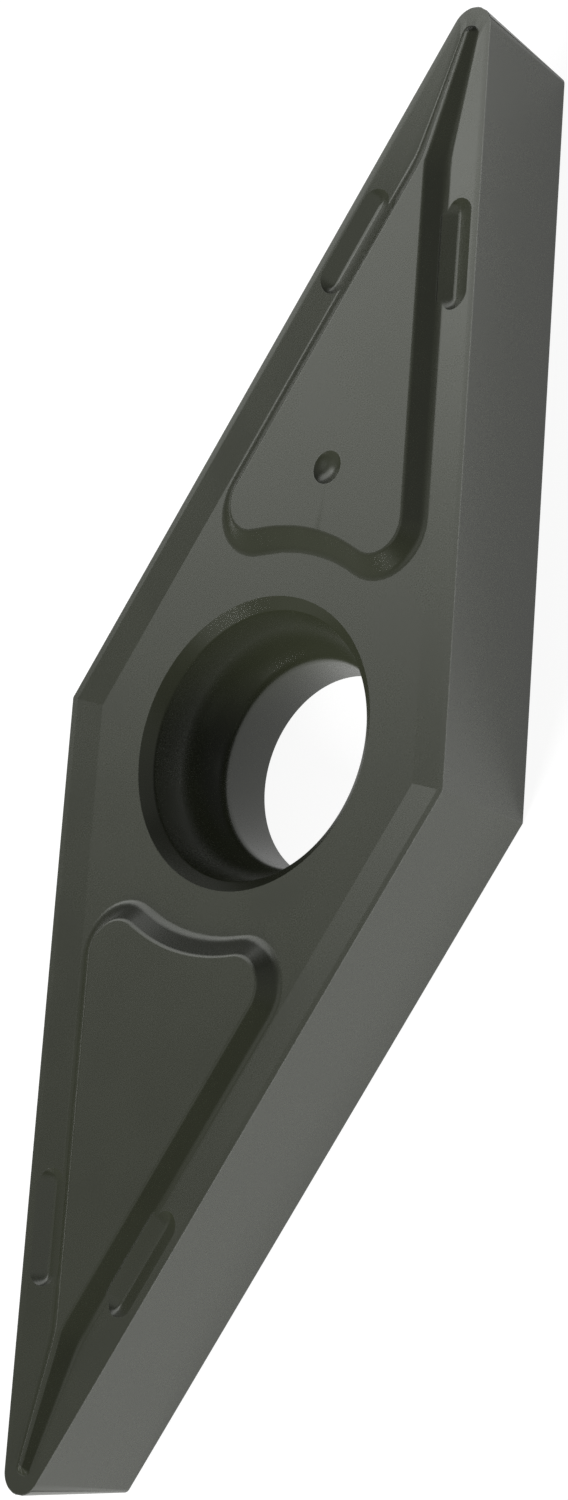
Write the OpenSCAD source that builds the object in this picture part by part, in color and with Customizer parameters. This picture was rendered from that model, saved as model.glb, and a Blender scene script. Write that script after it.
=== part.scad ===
// Indexable turning insert: a 35 degree rhombus with relieved flanks, two cutting noses, a pressed-in
// chipbreaker on the top face and a countersunk hole for a clamp screw.
// Origin on the hole's axis at the bottom face, +Z out of the top face, the two noses along Y.

/* [Outline] */
// Diameter of the circle that touches all four cutting edges
inscribed_d = 7.94; // [6.35:0.01:12.7]
// Angle between the two edges at each cutting nose
nose_angle = 35; // [33:1:40]
// Radius of each cutting nose
nose_r = 0.4; // [0.2:0.1:0.8]
// Height of the cutting edges above the bottom face
thickness = 2.38; // [2.2:0.01:4]
// Relief of the flanks, from the vertical
relief_angle = 7; // [3:1:11]
// Height and width of the honed strip along the cutting edges
edge_hone = 0.01; // [0.01:0.01:0.05]

/* [Rim] */
// Width of the flat land behind the cutting edges
land_w = 0.12; // [0.06:0.01:0.2]
// Width of the rake slope that falls from the land to the flat face
rake_w = 0.53; // [0.4:0.01:0.7]
// Depth of the flat face below the cutting edges
face_drop = 0.05; // [0.02:0.01:0.12]

/* [Islands] */
// Height of the islands' flat tops above the cutting edges
island_rise = 0.17; // [0.08:0.01:0.3]
// Width of the wall between an island's foot and the edge of its top, in plan
wall_run = 0.42; // [0.3:0.01:0.55]
// Radius of the fillet at the foot of the wall
foot_fillet = 0.25; // [0.1:0.01:0.35]
// Radius of the rounding at the top of the wall
crest_round = 0.12; // [0.05:0.01:0.2]
// Radius of an island's base corners, at the edge of its top
lobe_r = 0.5; // [0.3:0.05:0.8]
// Radius about the hole's axis of an island's hollow base, at the edge of its top
base_r = 3.51; // [3.3:0.01:4.5]

/* [Nose ridges] */
// Distance from a nose's foremost point to the tip of its ridge
ridge_setback = 0.27; // [0.2:0.01:0.5]
// Radius of a ridge's tip, at its foot
ridge_tip_r = 0.19; // [0.12:0.01:0.25]
// Angle between a ridge's side and the long axis
ridge_flare = 5.9; // [4:0.1:9]
// Radius of the hollow blend where a ridge widens into its island
ridge_blend_r = 2.5; // [1:0.5:4]

/* [Slots] */
// Overall length of each slot in the rim
slot_length = 1.8; // [1.2:0.1:2.6]
// Width of each slot, at the height of the rim over its middle
slot_w = 0.454; // [0.35:0.01:0.5]
// Width of the flat floor between the slot's two slopes
slot_floor_w = 0.05; // [0.02:0.01:0.1]
// Depth of each slot's floor below the rim
slot_depth = 0.075; // [0.05:0.005:0.1]
// Distance from the cutting edge to the middle of a slot
slot_inset = 0.475; // [0.45:0.005:0.55]
// Distance along the edge from its sharp nose corner to the middle of a slot
slot_from_nose = 5.07; // [4.5:0.01:6.5]

/* [Index dimple] */
// Diameter of the dimple on the first island
dimple_d = 0.56; // [0.3:0.02:0.8]
// Depth of the dimple
dimple_depth = 0.09; // [0.04:0.01:0.12]
// Distance from the hole's axis to the dimple
dimple_y = 4.5; // [4.4:0.05:6]

/* [Screw hole] */
// Diameter of the straight bore
bore_d = 3.4; // [2.8:0.1:3.6]
// Length of the straight bore, from the bottom face
bore_length = 0.86; // [0.6:0.01:1.1]
// Radius of the rounded seat above the bore
seat_r = 0.32; // [0.2:0.01:0.35]
// Sweep of the rounded seat, from the bore's wall outwards
seat_sweep = 85; // [60:1:88]
// Diameter of the hole where it opens in the flat face
mouth_d = 4.8; // [4.7:0.1:5.2]
// Width of the chamfer around the mouth
chamfer_w = 0.2; // [0.1:0.01:0.2]
// Depth of the chamfer around the mouth
chamfer_depth = 0.16; // [0.1:0.01:0.25]

/* [Smoothness] */
// Steps around each cutting nose
nose_steps = 20; // [12:2:32]
// Steps in each rounded stretch of an island's outline
arc_steps = 12; // [6:1:16]
// Steps in the fillet at a wall's foot, and in the rounding at its top
wall_steps = 5; // [3:1:8]
// Steps from the deepest point of the dimple outwards
cap_steps = 8; // [5:1:12]

/* [Hidden] */

carbide_grey = [0.33, 0.335, 0.31];
half_angle = nose_angle / 2;
edge_d = inscribed_d / 2;
edge_length = edge_d * (1 / tan(half_angle) + tan(half_angle));
crease = land_w + rake_w;
relief_run = thickness * tan(relief_angle);
hone_run = edge_hone * tan(relief_angle);
sharp_r = 0.01;
through = 0.5;

// Islands sit a little into the rim, so that their walls cut it cleanly.
seat_sink = 0.001;
skirt_drop = 0.12;
skirt_out = 0.08;
ridge_top_half_w = 0.015;
wall_rise = island_rise + face_drop;

function dir(a) = [cos(a), sin(a)];
function clamp(v, low, high) = min(max(v, low), high);

// Distance of a plan point inside the nearest cutting edge.
function inset_of(p) = edge_d - abs(p.x) * cos(half_angle) - abs(p.y) * sin(half_angle);

// Height of the rim and the flat face under a plan point.
function rim_z(p) = thickness - face_drop * clamp((inset_of(p) - land_w) / rake_w, 0, 1);

// One level of the rhombus, moved inwards by an inset, with both noses rounded about their own centres.
function nose_radius(inset) = max(nose_r - inset, sharp_r);
function nose_centre(inset) = (edge_d - inset - nose_radius(inset)) / sin(half_angle);
function nose_arc(inset, side) = [
    for (i = [0:nose_steps])
        let (a = side * 90 - 90 + half_angle + i * (180 - nose_angle) / nose_steps)
        [0, side * nose_centre(inset)] + nose_radius(inset) * dir(a)
];
function outline(inset) = concat(
    [[(edge_d - inset) / cos(half_angle), 0]],
    nose_arc(inset, 1),
    [[-(edge_d - inset) / cos(half_angle), 0]],
    nose_arc(inset, -1)
);
function level(inset, z) = [for (p = outline(inset)) [p.x, p.y, z]];

// Faces between closed levels of points that lie one above the other, each counter-clockwise from above.
function wall_faces(levels, count) = [
    for (k = [0:levels - 2], i = [0:count - 1])
        let (j = (i + 1) % count)
        [k * count + i, (k + 1) * count + i, (k + 1) * count + j, k * count + j]
];
function flatten(lists) = [for (list = lists) each list];

module blank() {
    levels = [
        level(relief_run, 0),
        level(hone_run, thickness - edge_hone),
        level(edge_hone, thickness),
        level(land_w, thickness),
        level(crease, thickness - face_drop)
    ];
    count = len(levels[0]);
    last = count * (len(levels) - 1);
    polyhedron(
        points = flatten(levels),
        faces = concat(
            [[for (i = [0:count - 1]) i]],
            wall_faces(len(levels), count),
            [[for (i = [count - 1:-1:0]) last + i]]
        )
    );
}

// An island's foot is a chain of arcs joined by straight tangents. A station on it holds the arc's centre,
// its radius (negative where the outline is hollow), the outward direction, and how far its wall may run
// inwards.
foot_base_r = base_r - wall_run;
foot_lobe_r = lobe_r + wall_run;
lobe_line = edge_d - crease - foot_lobe_r;
lobe_reach = foot_base_r + foot_lobe_r;
lobe_angle = half_angle + acos(lobe_line / lobe_reach);
lobe_centre = lobe_reach * dir(lobe_angle);
tip_centre = [0, nose_centre(0) + nose_r - ridge_setback - ridge_tip_r];

// The ridge's side and the island's side, as distances from the axis along their own outward directions.
ridge_line = tip_centre.y * sin(ridge_flare) + ridge_tip_r;
island_line = edge_d - crease;
blend_span = sin(half_angle - ridge_flare);
blend_ridge = ridge_line + ridge_blend_r;
blend_island = island_line + ridge_blend_r;
blend_centre = [
    (blend_ridge * sin(half_angle) - blend_island * sin(ridge_flare)) / blend_span,
    (blend_island * cos(ridge_flare) - blend_ridge * cos(half_angle)) / blend_span
];

function point_at(s, inwards) = s[0] + (s[1] - inwards) * dir(s[2]);
function arc(centre, r, from, to, first) = [
    for (i = [first:arc_steps])
        [centre, r, from + i * (to - from) / arc_steps]
];
base_arc = arc([0, 0], -foot_base_r, -90, lobe_angle - 180, 0);
lobe_arc = arc(lobe_centre, foot_lobe_r, lobe_angle - 180, half_angle, 1);
blend_arc = arc(blend_centre, -ridge_blend_r, half_angle, ridge_flare, 0);
tip_arc = arc(tip_centre, ridge_tip_r, ridge_flare, 90, 0);
right_half = concat(
    [for (s = concat(base_arc, lobe_arc)) [s[0], s[1], s[2], wall_run]],
    [
        for (s = blend_arc)
            let (room = (point_at(s, 0).x - ridge_top_half_w) / cos(s[2]))
            [s[0], s[1], s[2], min(wall_run, room)]
    ],
    [for (s = tip_arc) [s[0], s[1], s[2], min(wall_run, ridge_tip_r - ridge_top_half_w)]]
);
blend_first = len(base_arc) + len(lobe_arc);
hub_y = lobe_centre.y + foot_lobe_r;
tip_last = len(right_half) - 1;

// The wall's section runs from its foot to its top as a fillet, a straight slope and a rounding. Its slope
// is the one at which both arcs fit in the wall's run and rise, and both shrink together where the wall is
// too low.
rounding_room = (wall_run * wall_run + wall_rise * wall_rise) / (2 * wall_rise);
rounding_share = min(1, 0.95 * rounding_room / (foot_fillet + crest_round));
fillet_r = foot_fillet * rounding_share;
round_r = crest_round * rounding_share;
both_r = fillet_r + round_r;
slope = asin(both_r / norm([wall_run, both_r - wall_rise])) - atan2(both_r - wall_rise, wall_run);
wall_section = concat(
    [
        for (i = [0:wall_steps])
            let (a = slope * i / wall_steps)
            [fillet_r * sin(a), fillet_r * (1 - cos(a))]
    ],
    [
        for (i = [0:wall_steps])
            let (a = slope * (1 - i / wall_steps))
            [wall_run - round_r * sin(a), wall_rise - round_r * (1 - cos(a))]
    ]
);

// One level of an island: every station moved in and up by a point of the wall's section, scaled to its
// room.
function wall_point(s, move) =
    let (share = s[3] / wall_run)
    let (p = point_at(s, move[0] * share))
    [p.x, p.y, rim_z(point_at(s, 0)) - seat_sink + move[1] * share];
function around(half) = concat(half, [for (i = [len(half) - 2:-1:1]) [-half[i].x, half[i].y, half[i].z]]);
function island_level(move) = around([for (s = right_half) wall_point(s, move)]);
function skirt_level() = around([
    for (s = right_half)
        let (p = point_at(s, -skirt_out))
        [p.x, p.y, rim_z(point_at(s, 0)) - skirt_drop]
]);

module island() {
    levels = concat([skirt_level()], [for (move = wall_section) island_level(move)]);
    count = len(levels[0]);
    last = count * (len(levels) - 1);
    top_z = levels[len(levels) - 1][0].z;
    hubs = [[0, hub_y, levels[0][0].z], [0, hub_y, top_z]];
    foot_hub = count * len(levels);
    top_hub = foot_hub + 1;
    // Each cap is a fan about a hub as far as the blends, and narrows to the tip in pairs from side to
    // side.
    function fan(hub, start) = [
        for (i = [-blend_first:blend_first - 1])
            [hub, start + (i + count) % count, start + (i + 1 + count) % count]
    ];
    function ridge(start) = [
        for (i = [blend_first:tip_last - 2])
            [start + i, start + i + 1, start + count - i - 1, start + count - i]
    ];
    function tip(start) = [[start + tip_last - 1, start + tip_last, start + tip_last + 1]];
    function cap(hub, start) = concat(
        fan(hub, start),
        [[hub, start + blend_first, start + count - blend_first]],
        ridge(start),
        tip(start)
    );
    function turned(faces) = [for (f = faces) [for (i = [len(f) - 1:-1:0]) f[i]]];
    polyhedron(
        points = concat(flatten(levels), hubs),
        faces = concat(cap(foot_hub, 0), wall_faces(len(levels), count), turned(cap(top_hub, last)))
    );
}

// Each slot is a shallow trough with sloping sides and cone-shaped ends, which opens wider above the rim.
slot_over = 0.1;
slot_spread = (slot_w - slot_floor_w) / 2 / slot_depth;
slot_side = (slot_length - slot_w) / 2;
slot_rim_z = thickness - face_drop * clamp((slot_inset - land_w) / rake_w, 0, 1);
slot_along = edge_length - slot_from_nose - edge_d * tan(half_angle);

module slot() {
    cut_h = slot_depth + slot_over;
    floor_r = slot_floor_w / 2;
    rotate([0, 0, half_angle])
        translate([edge_d - slot_inset, slot_along, slot_rim_z - slot_depth])
            hull()
                for (side = [-1, 1])
                    translate([0, side * slot_side, 0])
                        cylinder(h = cut_h, r1 = floor_r, r2 = floor_r + cut_h * slot_spread, $fn = 32);
}

module slot_pair() {
    slot();
    mirror([1, 0, 0]) slot();
}

// The hole narrows from a chamfered mouth through a steep wall and a rounded seat to the straight bore.
bore_r = bore_d / 2;
mouth_r = mouth_d / 2;
face_z = thickness - face_drop;
seat_section = [
    for (a = [0:seat_sweep / 8:seat_sweep])
        [bore_r + seat_r * (1 - cos(a)), bore_length + seat_r * sin(a)]
];

module screw_hole() {
    translate([0, 0, -through]) cylinder(h = bore_length + 2 * through, d = bore_d, $fn = 96);
    rotate_extrude($fn = 96)
        polygon(concat(
            [[0, bore_length]],
            seat_section,
            [
                [mouth_r - chamfer_w, face_z - chamfer_depth],
                [mouth_r, face_z],
                [mouth_r, face_z + through],
                [0, face_z + through]
            ]
        ));
}

// The dimple is the print of a ball: so wide and so deep at the island's top, and going on above it.
cap_sweep = 40;
ball_r = (dimple_d * dimple_d / 4 + dimple_depth * dimple_depth) / (2 * dimple_depth);
ball_section = [
    for (i = [0:cap_steps])
        let (a = cap_sweep * i / cap_steps)
        [ball_r * sin(a), ball_r * (1 - cos(a)) - dimple_depth]
];

module dimple() {
    translate([0, dimple_y, thickness + island_rise - seat_sink])
        hull()
            rotate_extrude($fn = 32)
                polygon(concat([[0, through]], ball_section, [[ball_r * sin(cap_sweep), through]]));
}

module insert() {
    color(carbide_grey)
        difference() {
            union() {
                blank();
                for (turn = [0, 180]) rotate([0, 0, turn]) island();
            }
            for (turn = [0, 180]) rotate([0, 0, turn]) slot_pair();
            screw_hole();
            dimple();
        }
}

insert();
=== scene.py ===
"""A rhombic cermet turning insert lying on a pale studio floor, laid out as an add-on."""

import math

import bmesh
import bpy
from mathutils import Matrix, Vector


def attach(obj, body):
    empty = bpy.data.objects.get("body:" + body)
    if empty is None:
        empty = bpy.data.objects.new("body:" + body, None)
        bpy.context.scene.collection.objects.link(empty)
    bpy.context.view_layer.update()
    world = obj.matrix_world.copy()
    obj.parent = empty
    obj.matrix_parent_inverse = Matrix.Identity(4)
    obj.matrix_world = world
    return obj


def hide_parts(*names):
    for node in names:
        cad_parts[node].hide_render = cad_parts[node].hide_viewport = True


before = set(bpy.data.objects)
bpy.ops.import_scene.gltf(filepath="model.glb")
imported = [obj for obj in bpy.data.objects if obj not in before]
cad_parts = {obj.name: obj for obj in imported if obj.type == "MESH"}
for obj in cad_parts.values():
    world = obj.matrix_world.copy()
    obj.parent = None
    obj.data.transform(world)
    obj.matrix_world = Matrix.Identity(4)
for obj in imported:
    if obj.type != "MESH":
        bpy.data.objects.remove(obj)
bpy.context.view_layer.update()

bl_info = {
    "name": "Cermet turning insert",
    "version": (1, 0, 0),
    "blender": (4, 5, 0),
    "location": "3D View > Sidebar > Insert",
    "description": "Finishes a rhombic turning insert and sets it on a studio floor",
    "category": "Object",
}

MM = 0.001
# Lengths below this count as nothing.
HAIR = 0.001 * MM
# Faces that meet at less than this are merged into one.
FLAT_ANGLE = math.radians(0.2)
# The range in which most values of a noise lie.
NOISE_SPAN = (0.3, 0.7)

NODE = "insert"
BODY = "root"

# Each lamp's name, azimuth from +X towards +Y, rise above the floor, width and height as seen from the
# insert, all in degrees, then its brightness and whether the insert mirrors it.
LAMPS = (
    ("side_softbox", 143, 39.5, 43, 26, 1.18, True),
    ("fill_softbox", -172, 47, 22, 26, 0.12, True),
    ("back_panel", 180, 38, 110, 74, 0.09, True),
    ("top_softbox", 180, 84, 34, 24, 0.32, True),
    ("front_panel", 50, 55, 50, 40, 0.09, True),
    ("rim_panel", 167, 32, 14, 13, 0.90, True),
    ("glint_panel", -88, 40, 30, 26, 0.30, True),
    ("key_softbox", -98, 32, 24, 24, 18.0, False),
    ("front_softbox", -40, 4, 30, 8, 5.4, False),
)


class InsertSizes(bpy.types.PropertyGroup):
    """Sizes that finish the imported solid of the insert."""

    bore: bpy.props.FloatProperty(
        name="Bore", description="Diameter of the screw hole's straight bore",
        default=3.4 * MM, min=0.001, subtype="DISTANCE", unit="LENGTH", precision=5,
    )
    bore_length: bpy.props.FloatProperty(
        name="Bore length", description="Length of the straight bore, from the bottom face",
        default=0.86 * MM, min=0.0001, subtype="DISTANCE", unit="LENGTH", precision=5,
    )
    seat: bpy.props.FloatProperty(
        name="Seat radius", description="Radius of the rounded seat above the bore",
        default=0.32 * MM, min=0.0001, subtype="DISTANCE", unit="LENGTH", precision=5,
    )
    seat_sweep: bpy.props.FloatProperty(
        name="Seat sweep", description="Sweep of the rounded seat, from the bore's wall outwards",
        default=math.radians(42.5), subtype="ANGLE", unit="ROTATION",
    )
    wall_foot: bpy.props.FloatProperty(
        name="Wall foot", description="Radius at which the seat's slope meets the hole's steep wall",
        default=2.026 * MM, min=0.001, subtype="DISTANCE", unit="LENGTH", precision=5,
    )
    wall_foot_height: bpy.props.FloatProperty(
        name="Wall foot height",
        description="Height at which the seat's slope meets the hole's steep wall",
        default=1.34 * MM, min=0.0001, subtype="DISTANCE", unit="LENGTH", precision=5,
    )
    mouth: bpy.props.FloatProperty(
        name="Mouth", description="Diameter of the hole where it opens in the flat face",
        default=4.8 * MM, min=0.001, subtype="DISTANCE", unit="LENGTH", precision=5,
    )
    chamfer: bpy.props.FloatProperty(
        name="Chamfer width", description="Width of the chamfer around the mouth",
        default=0.2 * MM, min=0.0, subtype="DISTANCE", unit="LENGTH", precision=5,
    )
    chamfer_depth: bpy.props.FloatProperty(
        name="Chamfer depth", description="Depth of the chamfer around the mouth",
        default=0.16 * MM, min=0.0, subtype="DISTANCE", unit="LENGTH", precision=5,
    )
    face_height: bpy.props.FloatProperty(
        name="Face height", description="Height of the flat face around the mouth",
        default=2.33 * MM, min=0.0001, subtype="DISTANCE", unit="LENGTH", precision=5,
    )
    edge_height: bpy.props.FloatProperty(
        name="Edge height", description="Height of the cutting edges above the bottom face",
        default=2.38 * MM, min=0.0001, subtype="DISTANCE", unit="LENGTH", precision=5,
    )
    edge_hone: bpy.props.FloatProperty(
        name="Edge hone",
        description="Height of the packed solid's honed strip, which is drawn as a keen edge",
        default=0.01 * MM, min=0.0, subtype="DISTANCE", unit="LENGTH", precision=6,
    )
    hole_rounding: bpy.props.FloatProperty(
        name="Hole rounding", description="Radius of the corner between the chamfer and the hole's wall",
        default=0.08 * MM, min=0.0, subtype="DISTANCE", unit="LENGTH", precision=5,
    )
    seat_rounding: bpy.props.FloatProperty(
        name="Seat rounding",
        description="Radius of the hollow between the seat's slope and the hole's steep wall",
        default=1.2 * MM, min=0.0, subtype="DISTANCE", unit="LENGTH", precision=5,
    )
    inscribed: bpy.props.FloatProperty(
        name="Inscribed circle",
        description="Diameter of the circle that touches all four cutting edges",
        default=7.94 * MM, min=0.001, subtype="DISTANCE", unit="LENGTH", precision=5,
    )
    half_angle: bpy.props.FloatProperty(
        name="Half nose angle", description="Angle between a cutting edge and the insert's long axis",
        default=math.radians(17.5), subtype="ANGLE", unit="ROTATION",
    )
    slot_inset: bpy.props.FloatProperty(
        name="Slot inset", description="Distance from a cutting edge to the middle of its slot",
        default=0.475 * MM, min=0.0, subtype="DISTANCE", unit="LENGTH", precision=5,
    )
    slot_along: bpy.props.FloatProperty(
        name="Slot place", description="Distance along a cutting edge from its middle line to its slot",
        default=7.521 * MM, min=0.0, subtype="DISTANCE", unit="LENGTH", precision=5,
    )
    slot_floor: bpy.props.FloatProperty(
        name="Slot floor", description="Height of the slots' floor above the bottom face",
        default=2.2705 * MM, min=0.0, subtype="DISTANCE", unit="LENGTH", precision=5,
    )
    slot_floor_width: bpy.props.FloatProperty(
        name="Slot floor width", description="Width of the flat strip along a slot's floor",
        default=0.056 * MM, min=0.0, subtype="DISTANCE", unit="LENGTH", precision=5,
    )
    slot_straight: bpy.props.FloatProperty(
        name="Slot straight length",
        description="Length of a slot between the centres of its rounded ends",
        default=1.346 * MM, min=0.0, subtype="DISTANCE", unit="LENGTH", precision=5,
    )
    slot_floor_end: bpy.props.FloatProperty(
        name="Slot floor end",
        description="How far the flat floor goes on past the centre of a rounded end",
        default=0.045 * MM, min=0.0, subtype="DISTANCE", unit="LENGTH", precision=5,
    )
    slot_slope: bpy.props.FloatProperty(
        name="Slot slope", description="Slope of a slot's sides",
        default=math.radians(20.37), subtype="ANGLE", unit="ROTATION",
    )
    slot_end_radius: bpy.props.FloatProperty(
        name="Slot end radius",
        description="Radius of the hollow in which a slot's ends rise from its floor",
        default=0.36 * MM, min=0.0001, subtype="DISTANCE", unit="LENGTH", precision=5,
    )
    slot_lean: bpy.props.FloatProperty(
        name="Slot lean",
        description="How many times as wide a slot's half beside the wall is as its other half",
        default=1.2, min=1.0,
    )
    slot_reach: bpy.props.FloatProperty(
        name="Slot reach", description="Farthest that a slot reaches from its middle towards the wall",
        default=0.30 * MM, min=0.0, subtype="DISTANCE", unit="LENGTH", precision=5,
    )
    lower_rounding: bpy.props.FloatProperty(
        name="Lower rounding",
        description="Width of the rounding along the bottom edges and the blunt corners",
        default=0.02 * MM, min=0.0, subtype="DISTANCE", unit="LENGTH", precision=6,
    )
    crisp_angle: bpy.props.FloatProperty(
        name="Crisp angle",
        description="Faces that meet at more than this angle keep a crisp edge between them",
        default=math.radians(14), subtype="ANGLE", unit="ROTATION",
    )
    broad_angle: bpy.props.FloatProperty(
        name="Broad crisp angle",
        description="The same for two broad faces, such as a rim and the flat face",
        default=math.radians(2.5), subtype="ANGLE", unit="ROTATION",
    )
    merge: bpy.props.FloatProperty(
        name="Merge distance",
        description="Corners of the packed solid's triangles closer than this become one",
        default=0.0002 * MM, min=0.0, subtype="DISTANCE", unit="LENGTH", precision=6,
    )


class CermetFinish(bpy.types.PropertyGroup):
    """Colour and surface of the sintered cermet."""

    dark: bpy.props.FloatVectorProperty(
        name="Dark colour",
        description="Body colour of the cermet, where its grains lie deeper",
        default=(0.0290, 0.0325, 0.0185), size=3, min=0.0, max=1.0, subtype="COLOR",
    )
    light: bpy.props.FloatVectorProperty(
        name="Light colour",
        description="Body colour of the cermet, where its grains stand higher",
        default=(0.0350, 0.0390, 0.0235), size=3, min=0.0, max=1.0, subtype="COLOR",
    )
    # Colour of the painted highlight laid along the upper edges, where they would catch the light.
    edge: bpy.props.FloatVectorProperty(
        name="Edge colour",
        description="Colour of the brushed metal grains that show along the upper edges",
        default=(0.16, 0.165, 0.15), size=3, min=0.0, max=1.0, subtype="COLOR",
    )
    gloss: bpy.props.FloatProperty(
        name="Refractive index",
        description="Strength of the reflection at the cermet's dense skin",
        default=1.88, min=1.0, max=4.0,
    )
    roughness: bpy.props.FloatProperty(
        name="Roughness",
        description="How far the tumbled skin spreads a reflection",
        default=0.27, min=0.0, max=1.0, subtype="FACTOR",
    )
    grain: bpy.props.FloatProperty(
        name="Grain size",
        description="Size of the sintered grain that the skin shows",
        default=0.03 * MM, min=0.000001, subtype="DISTANCE", unit="LENGTH", precision=6,
    )
    cloud: bpy.props.FloatProperty(
        name="Cloud size",
        description="Size of the soft patches in which the skin's colour and gloss drift",
        default=1.4 * MM, min=0.00001, subtype="DISTANCE", unit="LENGTH", precision=5,
    )
    cloud_share: bpy.props.FloatProperty(
        name="Cloud share",
        description="Share of the soft patches in the drift of the colour. The rest is the grain's",
        default=0.75, min=0.0, max=1.0, subtype="FACTOR",
    )
    relief: bpy.props.FloatProperty(
        name="Grain height",
        description="Height of the grain on the skin",
        default=0.00005 * MM, min=0.0, subtype="DISTANCE", unit="LENGTH", precision=8,
    )
    tint: bpy.props.FloatVectorProperty(
        name="Reflection tint",
        description="Faint colour that the cermet gives to its reflections",
        default=(0.975, 1.0, 0.95), size=3, min=0.0, max=1.0, subtype="COLOR",
    )
    # Width of the painted edge highlight.
    edge_width: bpy.props.FloatProperty(
        name="Edge highlight width",
        description="How far the brightening runs in from an edge",
        default=0.03 * MM, min=0.0, subtype="DISTANCE", unit="LENGTH", precision=6,
    )
    # Heights between which the painted edge highlight fades in, from none to full.
    highlight_from: bpy.props.FloatProperty(
        name="Edge highlight from",
        description="Height above the bottom face at which edges start to be brushed bright",
        default=2.34 * MM, min=0.0, subtype="DISTANCE", unit="LENGTH", precision=5,
    )
    highlight_full: bpy.props.FloatProperty(
        name="Edge highlight full",
        description="Height above the bottom face from which edges are fully brushed",
        default=2.365 * MM, min=0.0, subtype="DISTANCE", unit="LENGTH", precision=5,
    )


class StageLook(bpy.types.PropertyGroup):
    """Floor, lamps and camera of the studio."""

    floor_size: bpy.props.FloatProperty(
        name="Floor size",
        description="Length of the floor's sides",
        default=2.0, min=0.1, subtype="DISTANCE", unit="LENGTH",
    )
    floor_gap: bpy.props.FloatProperty(
        name="Floor gap",
        description="How far the floor lies below the insert's bottom face",
        default=0.01 * MM, min=0.0, subtype="DISTANCE", unit="LENGTH", precision=6,
    )
    floor_colour: bpy.props.FloatVectorProperty(
        name="Floor colour",
        description="Colour of the floor",
        default=(0.9, 0.9, 0.9), size=3, min=0.0, max=1.0, subtype="COLOR",
    )
    floor_white: bpy.props.FloatProperty(
        name="Floor white",
        description="Brightness of the plain white that the camera sees on the floor",
        default=1.25, min=0.0,
    )
    floor_share: bpy.props.FloatProperty(
        name="Floor share",
        description="Share of the plain white in what the camera sees. The rest shows the shadow",
        default=0.74, min=0.0, max=1.0, subtype="FACTOR",
    )
    mirrored_share: bpy.props.FloatProperty(
        name="Mirrored share",
        description="Share of the plain white in what the insert mirrors of the floor",
        default=0.395, min=0.0, max=1.0, subtype="FACTOR",
    )
    room_light: bpy.props.FloatProperty(
        name="Room light",
        description="Strength of the even light from all round",
        default=0.06, min=0.0,
    )
    lamp_reach: bpy.props.FloatProperty(
        name="Lamp reach",
        description="How far the lamps stand from the insert",
        default=0.6, min=0.1, subtype="DISTANCE", unit="LENGTH",
    )
    camera_place: bpy.props.FloatVectorProperty(
        name="Camera place",
        description="Where the camera stands",
        default=(0.0418265, -0.0034050, 0.0456648), size=3,
        subtype="TRANSLATION", unit="LENGTH", precision=5,
    )
    camera_turn: bpy.props.FloatVectorProperty(
        name="Camera turn",
        description="How the camera is turned, about X, Y and Z in that order",
        default=tuple(math.radians(a) for a in (18.60875, 40.15329, 22.81654)), size=3,
        subtype="EULER", unit="ROTATION",
    )
    lens: bpy.props.FloatProperty(
        name="Lens",
        description="Focal length of the camera, in millimetres for a 36 mm sensor",
        default=92.02, min=10.0,
    )


def deselect():
    if bpy.context.object and bpy.context.object.mode != "OBJECT":
        bpy.ops.object.mode_set(mode="OBJECT")
    bpy.ops.object.select_all(action="DESELECT")


def make_active(obj):
    deselect()
    obj.select_set(True)
    bpy.context.view_layer.objects.active = obj


def link(tree, a, b):
    tree.links.new(a, b)


def add(tree, kind, **settings):
    """A shader node of a kind, with its settings."""
    node = tree.nodes.new("ShaderNode" + kind)
    for name, value in settings.items():
        setattr(node, name, value)
    return node


def math_node(tree, operation, *values):
    """A Math node. A value that is a socket is linked, and a number is set."""
    node = add(tree, "Math", operation=operation)
    for socket, value in zip(node.inputs, values):
        if isinstance(value, (int, float)):
            socket.default_value = value
        else:
            link(tree, value, socket)
    return node.outputs[0]


def spread(tree, value, low, high, to_low, to_high):
    """Map a value from one range to another, held inside the second."""
    node = add(tree, "MapRange")
    link(tree, value, node.inputs["Value"])
    for name, number in (("From Min", low), ("From Max", high), ("To Min", to_low), ("To Max", to_high)):
        node.inputs[name].default_value = number
    return node.outputs["Result"]


def blend(tree, factor, a, b):
    """Mix two colours. Each is a socket or a fixed colour."""
    node = add(tree, "Mix", data_type="RGBA")
    link(tree, factor, node.inputs["Factor"])
    for socket, colour in ((node.inputs["A"], a), (node.inputs["B"], b)):
        if isinstance(colour, bpy.types.NodeSocket):
            link(tree, colour, socket)
        else:
            socket.default_value = (*colour, 1.0)
    return node.outputs["Result"]


def noise(tree, place, size, detail, roughness=0.5):
    """Noise on the object's own coordinates, with its largest features about a size across."""
    node = add(tree, "TexNoise")
    link(tree, place, node.inputs["Vector"])
    node.inputs["Scale"].default_value = 1 / size
    node.inputs["Detail"].default_value = detail
    node.inputs["Roughness"].default_value = roughness
    return node.outputs["Fac"]


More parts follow.
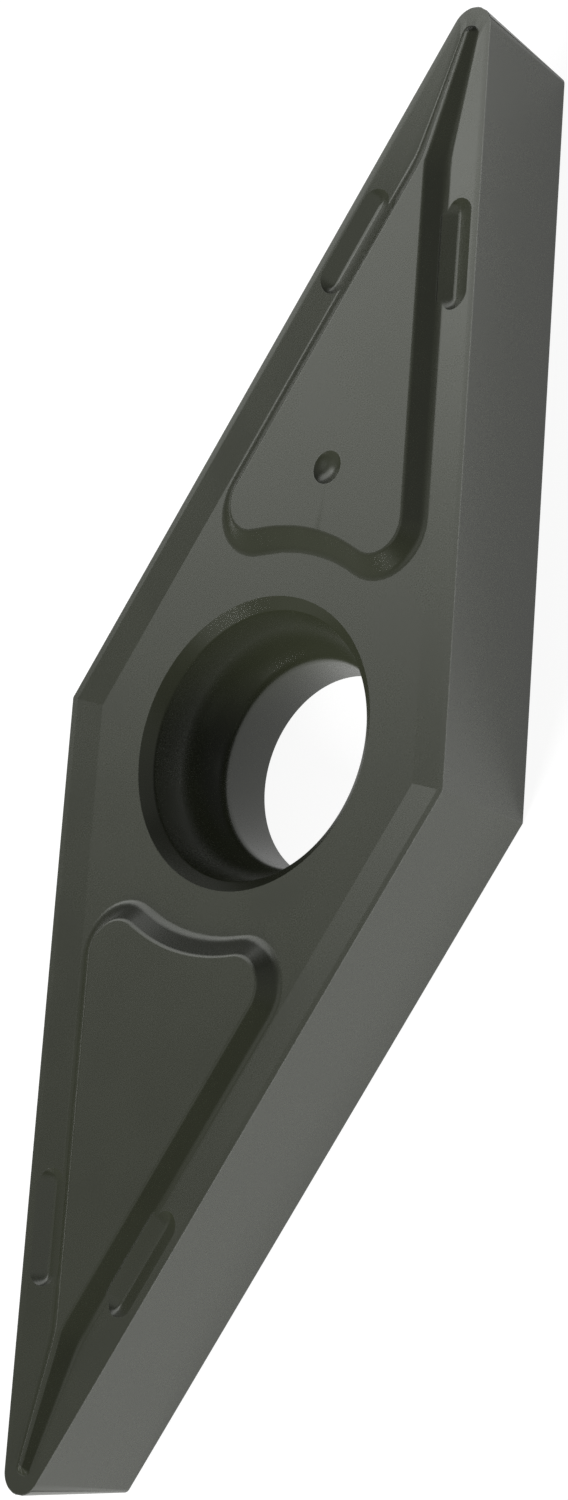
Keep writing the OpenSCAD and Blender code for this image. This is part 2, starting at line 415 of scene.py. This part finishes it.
def cermet_material(look):
    """Sintered cermet: a dark olive body with a dense satin skin, fine grain and a painted highlight
    along its upper edges.
    """
    mat = bpy.data.materials.new("cermet")
    mat.use_nodes = True
    tree = mat.node_tree
    shader = tree.nodes["Principled BSDF"]
    place = add(tree, "TexCoord").outputs["Object"]
    cloud = noise(tree, place, look.cloud, 3.0, 0.55)
    grain = noise(tree, place, look.grain, 2.0, 0.6)
    fleck = add(tree, "TexVoronoi", feature="F1")
    link(tree, place, fleck.inputs["Vector"])
    fleck.inputs["Scale"].default_value = 0.6 / look.grain

    # Clouds drift over millimetres, and single grains catch the light.
    cloud_part = math_node(tree, "MULTIPLY", cloud, look.cloud_share)
    grain_part = math_node(tree, "MULTIPLY", grain, 1 - look.cloud_share)
    mottle = math_node(tree, "ADD", cloud_part, grain_part)
    body = blend(tree, spread(tree, mottle, *NOISE_SPAN, 0.0, 1.0), look.dark, look.light)

    # A painted highlight along the upper edges: the difference between the true normal and one rounded
    # over the edges shows where the edges are. It starts to count at a cosine of 0.995 and is full at
    # 0.9, only high up, and the grain breaks it up.
    rounded_normal = add(tree, "Bevel", samples=6)
    rounded_normal.inputs["Radius"].default_value = look.edge_width
    true_normal = add(tree, "NewGeometry").outputs["Normal"]
    dot = add(tree, "VectorMath", operation="DOT_PRODUCT")
    link(tree, rounded_normal.outputs["Normal"], dot.inputs[0])
    link(tree, true_normal, dot.inputs[1])
    bend = spread(tree, dot.outputs["Value"], 0.995, 0.9, 0.0, 1.0)
    high = add(tree, "SeparateXYZ")
    link(tree, place, high.inputs[0])
    up_high = spread(tree, high.outputs["Z"], look.highlight_from, look.highlight_full, 0.0, 1.0)
    bend = math_node(tree, "MULTIPLY", bend, up_high)
    # Painted highlight: the light edge colour is blended into the body colour along the upper edges.
    edge_highlight_mask = math_node(tree, "MULTIPLY", bend, spread(tree, grain, 0.35, 0.6, 0.5, 1.0))
    link(tree, blend(tree, edge_highlight_mask, body, look.edge), shader.inputs["Base Color"])

    # The skin is a little rougher or smoother from place to place, and smoother along the edges that
    # carry the painted highlight.
    drift, speckle, polish = 0.015, 0.012, 0.05
    skin = spread(tree, cloud, *NOISE_SPAN, look.roughness - drift, look.roughness + drift)
    skin = math_node(tree, "ADD", skin, spread(tree, grain, *NOISE_SPAN, -speckle, speckle))
    skin = math_node(tree, "SUBTRACT", skin, math_node(tree, "MULTIPLY", edge_highlight_mask, polish))
    link(tree, skin, shader.inputs["Roughness"])

    # In the relief, the flecks count half as much as the grain.
    height = math_node(tree, "ADD", grain, math_node(tree, "MULTIPLY", fleck.outputs["Distance"], 0.5))
    bump = add(tree, "Bump")
    bump.inputs["Strength"].default_value = 1.0
    bump.inputs["Distance"].default_value = look.relief
    link(tree, height, bump.inputs["Height"])
    link(tree, bump.outputs["Normal"], shader.inputs["Normal"])
    shader.inputs["Metallic"].default_value = 0.0
    shader.inputs["IOR"].default_value = look.gloss
    shader.inputs["Specular Tint"].default_value = (*look.tint, 1.0)
    return mat


def pick(mesh, faces=None, edges=None):
    """Select only the faces, or else only the edges, that a test accepts. The mesh is in edit mode."""
    bpy.ops.mesh.select_all(action="DESELECT")
    bpy.ops.mesh.select_mode(type="FACE" if faces else "EDGE")
    shape = bmesh.from_edit_mesh(mesh)
    shape.normal_update()
    for item in shape.faces if faces else shape.edges:
        item.select_set((faces or edges)(item))
    shape.select_flush_mode()
    bmesh.update_edit_mesh(mesh)


def radius(point):
    return math.hypot(point.x, point.y)


def close_hole(mesh, sizes):
    """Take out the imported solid's coarse hole, and close the top and bottom faces over it."""
    mouth = sizes.mouth / 2

    def in_hole(face):
        centre = face.calc_center_median()
        return radius(centre) < mouth and centre.z > HAIR

    def on_rim(edge, top):
        return edge.is_boundary and (edge.verts[0].co.z > sizes.bore_length) == top

    pick(mesh, faces=in_hole)
    bpy.ops.mesh.delete(type="FACE")
    for top in (False, True):
        pick(mesh, edges=lambda e: on_rim(e, top))
        bpy.ops.mesh.edge_face_add()


def close_notches(mesh):
    """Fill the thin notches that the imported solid's slots leave in the foot of the islands' walls."""
    wall_lean, lean_slack = math.cos(math.radians(36.4)), 0.05
    # The notches lie between these distances from the hole's axis along Y, and between these heights.
    nearest, farthest = 7.0 * MM, 9.1 * MM
    foot, ceiling = 2.385 * MM, 2.45 * MM

    def in_notch(face):
        centre = face.calc_center_median()
        near = nearest < abs(centre.y) < farthest and foot < centre.z < ceiling
        return near and abs(face.normal.z - wall_lean) > lean_slack

    pick(mesh, faces=in_notch)
    bpy.ops.mesh.delete(type="FACE")
    pick(mesh, edges=lambda e: e.is_boundary)
    bpy.ops.mesh.fill_holes(sides=0)


def rounded(points, steps):
    """Round the corners of a section of points (r, z, rounding). A rounding of 0 keeps the corner."""
    out = []
    for i, (r, z, rounding) in enumerate(points):
        corner = Vector((r, z))
        if not rounding:
            out.append(corner)
            continue
        back = (Vector(points[i - 1][:2]) - corner).normalized()
        on = (Vector(points[i + 1][:2]) - corner).normalized()
        half = back.angle(on) / 2
        centre = corner + (back + on).normalized() * rounding / math.sin(half)
        start = corner + back * rounding / math.tan(half) - centre
        end = corner + on * rounding / math.tan(half) - centre
        turn = start.angle_signed(end)
        for k in range(steps + 1):
            spun = start.copy()
            spun.rotate(Matrix.Rotation(-turn * k / steps, 2))
            out.append(centre + spun)
    return out


def stack(rings, count):
    """A closed solid through level rings of points, each ring (height, half width, half length)."""
    z, wide, deep = rings[0]
    deselect()
    bpy.ops.mesh.primitive_circle_add(
        vertices=count, radius=wide, fill_type="NGON",
        location=(0, 0, z), rotation=(0, 0, math.pi / count),
    )
    solid = bpy.context.object
    bpy.ops.object.transform_apply(location=True, rotation=True)
    bpy.ops.object.mode_set(mode="EDIT")
    bpy.ops.mesh.select_all(action="SELECT")
    bpy.ops.transform.resize(value=(1, deep / wide, 1), center_override=(0, 0, z))
    for (z, wide, deep), (next_z, next_wide, next_deep) in zip(rings, rings[1:]):
        bpy.ops.mesh.extrude_region_move(TRANSFORM_OT_translate={"value": (0, 0, next_z - z)})
        bpy.ops.transform.resize(
            value=(next_wide / wide, next_deep / deep, 1), center_override=(0, 0, next_z)
        )
    bpy.ops.mesh.select_all(action="SELECT")
    bpy.ops.mesh.normals_make_consistent(inside=False)
    bpy.ops.object.mode_set(mode="OBJECT")
    return solid


def turned_hole(sizes):
    """The screw hole as a solid of its own, turned from its section."""
    bore, mouth = sizes.bore / 2, sizes.mouth / 2
    over = 0.5 * MM
    facets, seat_steps, corner_steps = 160, 8, 6
    low_ring = 0.2 * sizes.bore_length
    points = [(bore, -over, 0), (bore, low_ring, 0)]
    for i in range(seat_steps + 1):
        a = sizes.seat_sweep * i / seat_steps
        r, z = bore + sizes.seat * (1 - math.cos(a)), sizes.bore_length + sizes.seat * math.sin(a)
        points.append((r, z, 0))
    points += [
        (sizes.wall_foot, sizes.wall_foot_height, sizes.seat_rounding),
        (mouth - sizes.chamfer, sizes.face_height - sizes.chamfer_depth, sizes.hole_rounding),
        (mouth, sizes.face_height, 0),
        (mouth + over, sizes.face_height + over * sizes.chamfer_depth / sizes.chamfer, 0),
    ]
    return stack([(p.y, p.x, p.x) for p in rounded(points, corner_steps)], facets)


def slot_cutter(sizes, turn, along):
    """A slot as a solid of its own, widened towards the wall and drawn out along the cutting edge."""
    facets, steps = 32, 7
    flare_height, over = 0.112 * MM, 0.05 * MM
    level_slack = 0.5 * HAIR
    rings = []
    for i in range(steps + 1):
        h = flare_height * (i / steps) ** 2
        wide = sizes.slot_floor_width / 2 + h / math.tan(sizes.slot_slope)
        deep = sizes.slot_floor_end + math.sqrt(2 * sizes.slot_end_radius * h - h * h)
        rings.append((sizes.slot_floor + h, wide, deep))
    rings.append((rings[-1][0] + over, *rings[-1][1:]))
    cutter = stack(rings, facets)
    mesh = cutter.data
    bpy.ops.object.mode_set(mode="EDIT")
    for z, wide, _ in rings:
        pick(mesh, edges=lambda e: all(abs(v.co.z - z) < level_slack and v.co.x < 0 for v in e.verts))
        share = min(sizes.slot_lean, sizes.slot_reach / wide)
        bpy.ops.transform.resize(value=(share, 1, 1), center_override=(0, 0, z))
    for side in (1, -1):
        pick(mesh, faces=lambda f: side * f.calc_center_median().y > HAIR)
        bpy.ops.transform.translate(value=(0, side * sizes.slot_straight / 2, 0))
    bpy.ops.object.mode_set(mode="OBJECT")
    spin = Matrix.Rotation(turn, 4, "Z")
    cutter.matrix_world = spin @ Matrix.Translation((sizes.inscribed / 2 - sizes.slot_inset, along, 0))
    bpy.ops.object.transform_apply(location=True, rotation=True)
    return cutter


def put_in_order():
    """Sort the active mesh by distance from a point off all its planes of symmetry.

    The exact boolean lists what it makes in a different order on each run. The later steps go by that
    order, so without this their result would differ a little from run to run.
    """
    cursor = bpy.context.scene.cursor
    cursor.location = (23.1 * MM, 37.7 * MM, 11.3 * MM)
    bpy.ops.object.mode_set(mode="EDIT")
    bpy.ops.mesh.select_all(action="SELECT")
    bpy.ops.mesh.sort_elements(type="CURSOR_DISTANCE", elements={"VERT", "EDGE", "FACE"})
    bpy.ops.object.mode_set(mode="OBJECT")
    cursor.location = (0, 0, 0)


def cut(body, cutter):
    """Take the cutter's shape out of the body, and throw the cutter away."""
    make_active(body)
    boolean = body.modifiers.new("cut", "BOOLEAN")
    boolean.operation, boolean.solver, boolean.object = "DIFFERENCE", "EXACT", cutter
    bpy.ops.object.modifier_apply(modifier=boolean.name)
    bpy.data.objects.remove(cutter)
    put_in_order()


def on_bottom(edge):
    """An edge of the outline of the bottom face."""
    steep = math.radians(57)
    return all(v.co.z < HAIR for v in edge.verts) and edge.calc_face_angle(0) > steep


def on_side_corner(edge):
    """An edge that runs up a blunt corner, where two flanks meet beside the hole."""
    past_hole = 3.5 * MM
    return all(abs(v.co.y) < HAIR and radius(v.co) > past_hole for v in edge.verts)


def under_hone(edge, sizes):
    """An edge between the honed strip and a flank, which leans outwards from the bottom."""
    level = sizes.edge_height - sizes.edge_hone
    level_edge = all(abs(v.co.z - level) < 0.2 * sizes.edge_hone for v in edge.verts)
    return level_edge and any(f.normal.z < 0 for f in edge.link_faces)


def is_crisp(edge, sizes):
    """An edge that stays crisp: a steep one above the bottom outline, or one between two broad faces."""
    bottom_band, broad_area = 0.05 * MM, 0.4 * MM * MM
    bend = edge.calc_face_angle(0)
    steep = bend > sizes.crisp_angle and max(v.co.z for v in edge.verts) > bottom_band
    broad = bend > sizes.broad_angle and all(f.calc_area() > broad_area for f in edge.link_faces)
    return steep or broad


class INSERT_OT_body(bpy.types.Operator):
    """Finish the insert's one solid: merge its facets, cut its hole and slots anew, finish its edges"""

    bl_idname = "insert.body"
    bl_label = "Insert body"

    def execute(self, context):
        sizes = context.scene.insert_sizes
        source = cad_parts[NODE]
        mesh = source.data.copy()
        body = bpy.data.objects.new("insert_body", mesh)
        context.scene.collection.objects.link(body)
        mesh.materials.clear()
        mesh.materials.append(cermet_material(context.scene.cermet_finish))
        make_active(body)
        bpy.ops.object.mode_set(mode="EDIT")
        bpy.ops.mesh.select_all(action="SELECT")
        bpy.ops.mesh.remove_doubles(threshold=sizes.merge)
        bpy.ops.mesh.customdata_custom_splitnormals_clear()
        close_hole(mesh, sizes)
        close_notches(mesh)
        bpy.ops.mesh.select_all(action="SELECT")
        bpy.ops.mesh.normals_make_consistent(inside=False)
        bpy.ops.mesh.dissolve_limited(angle_limit=FLAT_ANGLE)
        bpy.ops.object.mode_set(mode="OBJECT")
        cut(body, turned_hole(sizes))
        for turn in (0, math.pi):
            cut(body, slot_cutter(sizes, turn + sizes.half_angle, sizes.slot_along))
            cut(body, slot_cutter(sizes, turn - sizes.half_angle, -sizes.slot_along))
        bpy.ops.object.mode_set(mode="EDIT")
        pick(mesh, edges=lambda e: under_hone(e, sizes))
        bpy.ops.mesh.dissolve_edges(use_verts=True)
        bpy.ops.mesh.select_all(action="SELECT")
        bpy.ops.mesh.dissolve_limited(angle_limit=FLAT_ANGLE)
        pick(mesh, edges=lambda e: on_bottom(e) or on_side_corner(e))
        bpy.ops.mesh.bevel(offset=sizes.lower_rounding, segments=3, clamp_overlap=False)
        pick(mesh, edges=lambda e: is_crisp(e, sizes))
        bpy.ops.mesh.mark_sharp()
        bpy.ops.object.mode_set(mode="OBJECT")
        mesh.shade_smooth()
        weighted = body.modifiers.new("weighted", "WEIGHTED_NORMAL")
        weighted.keep_sharp = True
        bpy.ops.object.modifier_apply(modifier=weighted.name)
        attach(body, BODY)
        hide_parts(NODE)
        return {"FINISHED"}


def floor_material(look):
    """A pale matt floor that shows white to the camera and in reflections, and keeps a soft shadow."""
    mat = bpy.data.materials.new("floor")
    mat.use_nodes = True
    tree = mat.node_tree
    tree.nodes.remove(tree.nodes["Principled BSDF"])
    matt = add(tree, "BsdfDiffuse")
    matt.inputs["Color"].default_value = (*look.floor_colour, 1.0)
    white = add(tree, "Emission")
    white.inputs["Strength"].default_value = look.floor_white
    path = add(tree, "LightPath")
    seen = math_node(tree, "MULTIPLY", path.outputs["Is Camera Ray"], look.floor_share)
    glossy, through = path.outputs["Is Glossy Ray"], path.outputs["Is Transmission Ray"]
    mirrored = math_node(tree, "MAXIMUM", glossy, through)
    mirrored = math_node(tree, "MULTIPLY", mirrored, look.mirrored_share)
    share = math_node(tree, "MAXIMUM", seen, mirrored)
    mix = add(tree, "MixShader")
    link(tree, share, mix.inputs[0])
    link(tree, matt.outputs[0], mix.inputs[1])
    link(tree, white.outputs[0], mix.inputs[2])
    link(tree, mix.outputs[0], tree.nodes["Material Output"].inputs["Surface"])
    return mat


def softbox(scene, reach, name, azimuth, rise, across, high, radiance, mirrored):
    """A rectangular lamp that faces the insert from a direction, with its size and place in degrees."""
    width, height = (2 * reach * math.tan(math.radians(a) / 2) for a in (across, high))
    lamp = bpy.data.lights.new(name, "AREA")
    lamp.shape = "RECTANGLE"
    lamp.size, lamp.size_y = width, height
    lamp.energy = radiance * width * height * math.pi
    lamp_obj = bpy.data.objects.new(name, lamp)
    lamp_obj.visible_glossy = mirrored
    scene.collection.objects.link(lamp_obj)
    azimuth, rise = math.radians(azimuth), math.radians(rise)
    level = math.cos(rise)
    place = Vector((level * math.cos(azimuth), level * math.sin(azimuth), math.sin(rise)))
    lamp_obj.location = place * reach
    lamp_obj.rotation_mode = "QUATERNION"
    lamp_obj.rotation_quaternion = (-place).to_track_quat("-Z", "Y")


class INSERT_OT_stage(bpy.types.Operator):
    """Lay the pale floor, hang the lamps and stand the camera"""

    bl_idname = "insert.stage"
    bl_label = "Studio stage"

    def execute(self, context):
        look = context.scene.stage_look
        deselect()
        bpy.ops.mesh.primitive_plane_add(size=look.floor_size, location=(0, 0, -look.floor_gap))
        floor = context.object
        floor.name = "floor"
        bpy.ops.object.transform_apply(location=True)
        floor.data.materials.append(floor_material(look))

        world = bpy.data.worlds.new("room")
        context.scene.world = world
        world.use_nodes = True
        room = world.node_tree.nodes["Background"]
        room.inputs["Color"].default_value = (1, 1, 1, 1)
        room.inputs["Strength"].default_value = look.room_light
        for lamp in LAMPS:
            softbox(context.scene, look.lamp_reach, *lamp)

        camera = bpy.data.cameras.new("camera")
        camera.sensor_width = 36.0
        camera.lens = look.lens
        camera.clip_start, camera.clip_end = 0.001, 20.0
        eye = bpy.data.objects.new("camera", camera)
        context.scene.collection.objects.link(eye)
        eye.location = look.camera_place
        eye.rotation_euler = look.camera_turn
        context.scene.camera = eye
        context.scene.view_settings.view_transform = "Standard"
        return {"FINISHED"}


class INSERT_PT_panel(bpy.types.Panel):
    """Lists the steps that make the insert and its stage"""

    bl_idname = "INSERT_PT_panel"
    bl_label = "Turning insert"
    bl_space_type = "VIEW_3D"
    bl_region_type = "UI"
    bl_category = "Insert"

    def draw(self, context):
        for step in STEPS:
            self.layout.operator(step.bl_idname)
        for group in (context.scene.insert_sizes, context.scene.cermet_finish, context.scene.stage_look):
            box = self.layout.box()
            for name in group.__annotations__:
                box.prop(group, name)


STEPS = (INSERT_OT_body, INSERT_OT_stage)
GROUPS = {"insert_sizes": InsertSizes, "cermet_finish": CermetFinish, "stage_look": StageLook}


def register():
    for cls in (*GROUPS.values(), *STEPS, INSERT_PT_panel):
        bpy.utils.register_class(cls)
    for name, cls in GROUPS.items():
        setattr(bpy.types.Scene, name, bpy.props.PointerProperty(type=cls))


def unregister():
    for name in GROUPS:
        delattr(bpy.types.Scene, name)
    for cls in reversed((*GROUPS.values(), *STEPS, INSERT_PT_panel)):
        bpy.utils.unregister_class(cls)


def main():
    register()
    bpy.ops.insert.body()
    bpy.ops.insert.stage()


if __name__ == "__main__":
    main()
